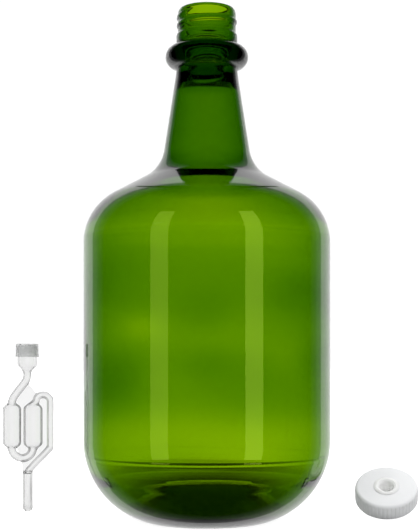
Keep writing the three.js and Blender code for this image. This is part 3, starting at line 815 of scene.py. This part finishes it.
def green_glass():
    material, tree, shader, output = new_material("green_glass")
    shader.inputs["Base Color"].default_value = (1, 1, 1, 1)
    shader.inputs["Roughness"].default_value = 0.0
    shader.inputs["IOR"].default_value = 1.52
    shader.inputs["Transmission Weight"].default_value = 1.0
    # the faint unevenness of a blown surface
    add_bump(tree, shader, noise(tree, 30, 2), 0.1, 0.0003)
    add_absorption(tree, output, (0.78, 0.871, 0.0), 1500)
    return material


def white_plastic():
    material, tree, shader, output = new_material("white_plastic")
    add_tint(tree, shader, noise(tree, 35, 3), (0.83, 0.835, 0.85), (0.875, 0.88, 0.895), 0.35, 0.65)
    shader.inputs["Roughness"].default_value = 0.38
    shader.inputs["Subsurface Weight"].default_value = 0.15
    shader.inputs["Subsurface Radius"].default_value = (1, 1, 1)
    shader.inputs["Subsurface Scale"].default_value = 0.0012
    add_bump(tree, shader, noise(tree, 900, 2), 0.12, 0.00003)
    return material


def liner_foam():
    material, tree, shader, output = new_material("liner_foam")
    pores = noise(tree, 2600, 2)
    add_tint(tree, shader, pores, (0.68, 0.67, 0.61), (0.84, 0.83, 0.79))
    shader.inputs["Roughness"].default_value = 0.85
    add_bump(tree, shader, pores, 0.5, 0.00008)
    return material


def white_silicone():
    material, tree, shader, output = new_material("white_silicone")
    cloud = noise(tree, 260, 4)
    add_tint(tree, shader, cloud, (0.9, 0.9, 0.89), (0.96, 0.96, 0.955))
    shader.inputs["Roughness"].default_value = 0.5
    shader.inputs["Subsurface Weight"].default_value = 0.4
    shader.inputs["Subsurface Radius"].default_value = (1, 1, 1)
    shader.inputs["Subsurface Scale"].default_value = 0.002
    add_bump(tree, shader, cloud, 0.1, 0.00004)
    return material


def clear_plastic():
    material, tree, shader, output = new_material("clear_plastic")
    shader.inputs["Base Color"].default_value = (1, 1, 1, 1)
    shader.inputs["IOR"].default_value = 1.45
    shader.inputs["Transmission Weight"].default_value = 1.0
    # moulding haze: a little cloudier in patches, with faint flow lines in its surface
    haze = noise(tree, 160, 3)
    rough = tree.nodes.new("ShaderNodeMapRange")
    rough.inputs["From Min"].default_value, rough.inputs["From Max"].default_value = 0.3, 0.7
    rough.inputs["To Min"].default_value, rough.inputs["To Max"].default_value = 0.04, 0.12
    tree.links.new(haze.outputs["Fac"], rough.inputs["Value"])
    tree.links.new(rough.outputs["Result"], shader.inputs["Roughness"])
    flow = noise(tree, 420, 2, stretch=(1, 1, 0.25))
    add_bump(tree, shader, flow, 0.15, 0.00004)
    add_absorption(tree, output, (0.4, 0.4, 0.4), 115)
    return material


def frosted_plastic():
    material, tree, shader, output = new_material("frosted_plastic")
    add_tint(tree, shader, noise(tree, 220, 3), (0.86, 0.865, 0.865), (0.93, 0.935, 0.935))
    shader.inputs["Roughness"].default_value = 0.24
    shader.inputs["IOR"].default_value = 1.3
    shader.inputs["Transmission Weight"].default_value = 0.8
    add_bump(tree, shader, noise(tree, 1800, 2), 0.2, 0.00004)
    return material


# ---- Stage -----------------------------------------------------------------------------------------------

def make_camera():
    camera = bpy.data.objects.new("camera", bpy.data.cameras.new("camera"))
    bpy.context.scene.collection.objects.link(camera)
    camera.data.sensor_fit = "VERTICAL"
    camera.data.sensor_height = SENSOR
    camera.data.sensor_width = SENSOR
    camera.data.lens = LENS
    camera.data.shift_y = SHIFT_UP
    camera.data.clip_end = 100
    camera.location = (CAMERA_SIDE * MM, -CAMERA_DISTANCE * MM, CAMERA_HEIGHT * MM)
    camera.rotation_euler = (math.radians(90), 0, 0)
    bpy.context.scene.camera = camera


def make_floor():
    reach = FLOOR_REACH
    corners = [(-reach, -reach, 0), (reach, -reach, 0), (reach, reach, 0), (-reach, reach, 0)]
    mesh = bpy.data.meshes.new("floor")
    mesh.from_pydata(corners, [], [(0, 1, 2, 3)])
    floor = bpy.data.objects.new("floor", mesh)
    bpy.context.scene.collection.objects.link(floor)
    material, tree, shader, output = new_material("pale_floor")
    shader.inputs["Base Color"].default_value = (FLOOR_WHITE, FLOOR_WHITE, FLOOR_WHITE, 1)
    shader.inputs["Roughness"].default_value = 0.9
    shader.inputs["Specular IOR Level"].default_value = 0.0
    # a lit table top: it glows to the eye but doesn't light the pieces
    path = tree.nodes.new("ShaderNodeLightPath")
    seen = tree.nodes.new("ShaderNodeMath")
    seen.operation = "MULTIPLY"
    tree.links.new(path.outputs["Is Camera Ray"], seen.inputs[0])
    seen.inputs[1].default_value = FLOOR_GLOW
    shader.inputs["Emission Color"].default_value = (1, 1, 1, 1)
    tree.links.new(seen.outputs[0], shader.inputs["Emission Strength"])
    # through the glass it glows as bright as the backdrop, with a painted shadow round and behind the jug's
    # foot: a darker oval in the glow, not a cast shadow
    place = tree.nodes.new("ShaderNodeTexCoord")
    oval = tree.nodes.new("ShaderNodeMapping")
    oval.inputs["Location"].default_value = PAINTED_SHADOW_PLACE
    oval.inputs["Scale"].default_value = PAINTED_SHADOW_STRETCH
    tree.links.new(place.outputs["Object"], oval.inputs["Vector"])
    distance = tree.nodes.new("ShaderNodeVectorMath")
    distance.operation = "LENGTH"
    tree.links.new(oval.outputs["Vector"], distance.inputs[0])
    # painted shadow: the emitted grey level drops where the floor lies near the jug's foot
    painted_shadow = stepped(tree, distance.outputs["Value"], FLOOR_PAINTED_SHADOW)
    glow = tree.nodes.new("ShaderNodeEmission")
    glow.inputs["Strength"].default_value = BACKDROP
    tree.links.new(painted_shadow, glow.inputs["Color"])
    mix = tree.nodes.new("ShaderNodeMixShader")
    tree.links.new(path.outputs["Is Transmission Ray"], mix.inputs[0])
    tree.links.new(shader.outputs[0], mix.inputs[1])
    tree.links.new(glow.outputs[0], mix.inputs[2])
    tree.links.new(mix.outputs[0], output.inputs["Surface"])
    mesh.materials.append(material)
    floor.visible_glossy = False


def stepped(tree, value, stops):
    """A grey level that follows (place, level) stops."""
    ramp = tree.nodes.new("ShaderNodeValToRGB")
    elements = ramp.color_ramp.elements
    while len(elements) < len(stops):
        elements.new(0.5)
    for element, (place, level) in zip(elements, stops):
        element.position = place
        element.color = (level, level, level, 1)
    tree.links.new(value, ramp.inputs["Fac"])
    return ramp.outputs["Color"]


def make_flag():
    """A dark card round the front of the neck that only mirrored rays meet, so no strip shows on it."""
    turns = np.radians(np.linspace(-180, 0, 25))
    round_neck = [(FLAG_RADIUS * math.cos(a), FLAG_RADIUS * math.sin(a)) for a in turns]
    low, high = [[(x, y, z) for x, y in round_neck] for z in (FLAG_BOTTOM, FLAG_TOP)]
    count = len(turns)
    faces = [(i, i + 1, count + i + 1, count + i) for i in range(count - 1)]
    mesh = bpy.data.meshes.new("neck_flag")
    mesh.from_pydata(low + high, [], faces)
    flag = bpy.data.objects.new("neck_flag", mesh)
    bpy.context.scene.collection.objects.link(flag)
    material, tree, shader, output = new_material("black_card")
    shader.inputs["Base Color"].default_value = (0, 0, 0, 1)
    shader.inputs["Specular IOR Level"].default_value = 0.0
    mesh.materials.append(material)
    flag.visible_camera = flag.visible_diffuse = flag.visible_transmission = False
    flag.visible_shadow = flag.visible_volume_scatter = False


def make_world():
    world = bpy.data.worlds.new("studio")
    bpy.context.scene.world = world
    world.use_nodes = True
    tree = world.node_tree
    tree.nodes.clear()
    output = tree.nodes.new("ShaderNodeOutputWorld")

    def background(colour, strength):
        node = tree.nodes.new("ShaderNodeBackground")
        node.inputs["Color"].default_value = (1, 1, 1, 1)
        if colour is not None:
            tree.links.new(colour, node.inputs["Color"])
        node.inputs["Strength"].default_value = strength
        return node.outputs[0]

    def choose(is_first, other, first):
        mix = tree.nodes.new("ShaderNodeMixShader")
        tree.links.new(is_first, mix.inputs[0])
        tree.links.new(other, mix.inputs[1])
        tree.links.new(first, mix.inputs[2])
        return mix.outputs[0]

    place = tree.nodes.new("ShaderNodeTexCoord")
    split = tree.nodes.new("ShaderNodeSeparateXYZ")
    tree.links.new(place.outputs["Generated"], split.inputs["Vector"])
    path = tree.nodes.new("ShaderNodeLightPath")
    # mirrored rays: a white card behind the object, with a soft grey border, and darkness all round it
    mirrored = stepped(tree, split.outputs["Y"], MIRRORED)
    # rays through the glass: white up to a height, and dark above it in front and behind
    aside = tree.nodes.new("ShaderNodeMath")
    aside.operation = "ABSOLUTE"
    tree.links.new(split.outputs["X"], aside.inputs[0])
    brighter = tree.nodes.new("ShaderNodeMix")
    brighter.data_type = "RGBA"
    brighter.blend_type = "LIGHTEN"
    brighter.inputs["Factor"].default_value = 1
    tree.links.new(stepped(tree, split.outputs["Z"], THROUGH), brighter.inputs["A"])
    tree.links.new(stepped(tree, aside.outputs[0], THROUGH_SIDE), brighter.inputs["B"])
    through = brighter.outputs["Result"]
    shade = background(None, FILL_LIGHT)
    shade = choose(path.outputs["Is Glossy Ray"], shade, background(mirrored, MIRRORED_CARD))
    shade = choose(path.outputs["Is Transmission Ray"], shade, background(through, BACKDROP))
    shade = choose(path.outputs["Is Camera Ray"], shade, background(None, BACKDROP))
    tree.links.new(shade, output.inputs["Surface"])


def area_light(name, location, target, size, power, colour=(1, 1, 1)):
    data = bpy.data.lights.new(name, "AREA")
    data.shape = "RECTANGLE"
    data.size, data.size_y = size
    data.energy = power
    data.color = colour
    light = bpy.data.objects.new(name, data)
    light.location = location
    light.rotation_euler = (Vector(target) - Vector(location)).to_track_quat("-Z", "Y").to_euler()
    light.visible_camera = False
    light.visible_transmission = False
    light.visible_glossy = False
    bpy.context.scene.collection.objects.link(light)
    return light


def make_lights(glass):
    area_light("overhead", OVERHEAD_PLACE, (0, 0, 0), OVERHEAD_SIZE, OVERHEAD_POWER)
    # two upright strips that show as soft bands on the front of the glass, and light nothing else
    mirror_only = bpy.data.collections.new("strips_light")
    mirror_only.objects.link(glass)
    for side, sign in (("left", -1), ("right", 1)):
        turn = math.radians(STRIP_TURN) * sign
        place = (STRIP_DISTANCE * math.sin(turn), -STRIP_DISTANCE * math.cos(turn), STRIP_HEIGHT)
        target = (0, 0, STRIP_HEIGHT)
        strip = area_light("strip_" + side, place, target, STRIP_SIZE, STRIP_POWERS[side], STRIP_COLOUR)
        strip.visible_glossy = True
        strip.visible_diffuse = False
        strip.light_linking.receiver_collection = mirror_only


def render_settings():
    scene = bpy.context.scene
    scene.view_settings.view_transform = "Standard"
    scene.cycles.max_bounces = 32
    scene.cycles.transmission_bounces = 32
    scene.cycles.glossy_bounces = 12
    scene.cycles.diffuse_bounces = 4
    scene.cycles.volume_bounces = 2
    scene.cycles.transparent_max_bounces = 16
    scene.cycles.sample_clamp_indirect = 6


# ---- The object ------------------------------------------------------------------------------------------

def add_piece(piece, material, node, body):
    piece.data.materials.clear()
    piece.data.materials.append(material)
    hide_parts(node)
    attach(piece, body)


make_camera()
bottle = make_bottle()
add_piece(bottle, green_glass(), "bottle", "bottle")

cap_shell, liner, collar = make_cap_shell(), make_liner(), make_grommet()
for piece in (cap_shell, liner, collar):
    piece.data.transform(cap_place())
add_piece(cap_shell, white_plastic(), "screw_cap", "cap")
add_piece(liner, liner_foam(), "cap_liner", "cap_seat")
add_piece(collar, white_silicone(), "stem_grommet", "cap")

plastic = clear_plastic()
add_piece(make_airlock_half("airlock_front", 1), plastic, "airlock_front_shell", "airlock")
add_piece(make_airlock_half("airlock_back", -1), plastic, "airlock_back_shell", "airlock")
add_piece(make_lid(), frosted_plastic(), "airlock_lid", "lid")

make_floor()
make_flag()
make_world()
make_lights(bottle)
render_settings()
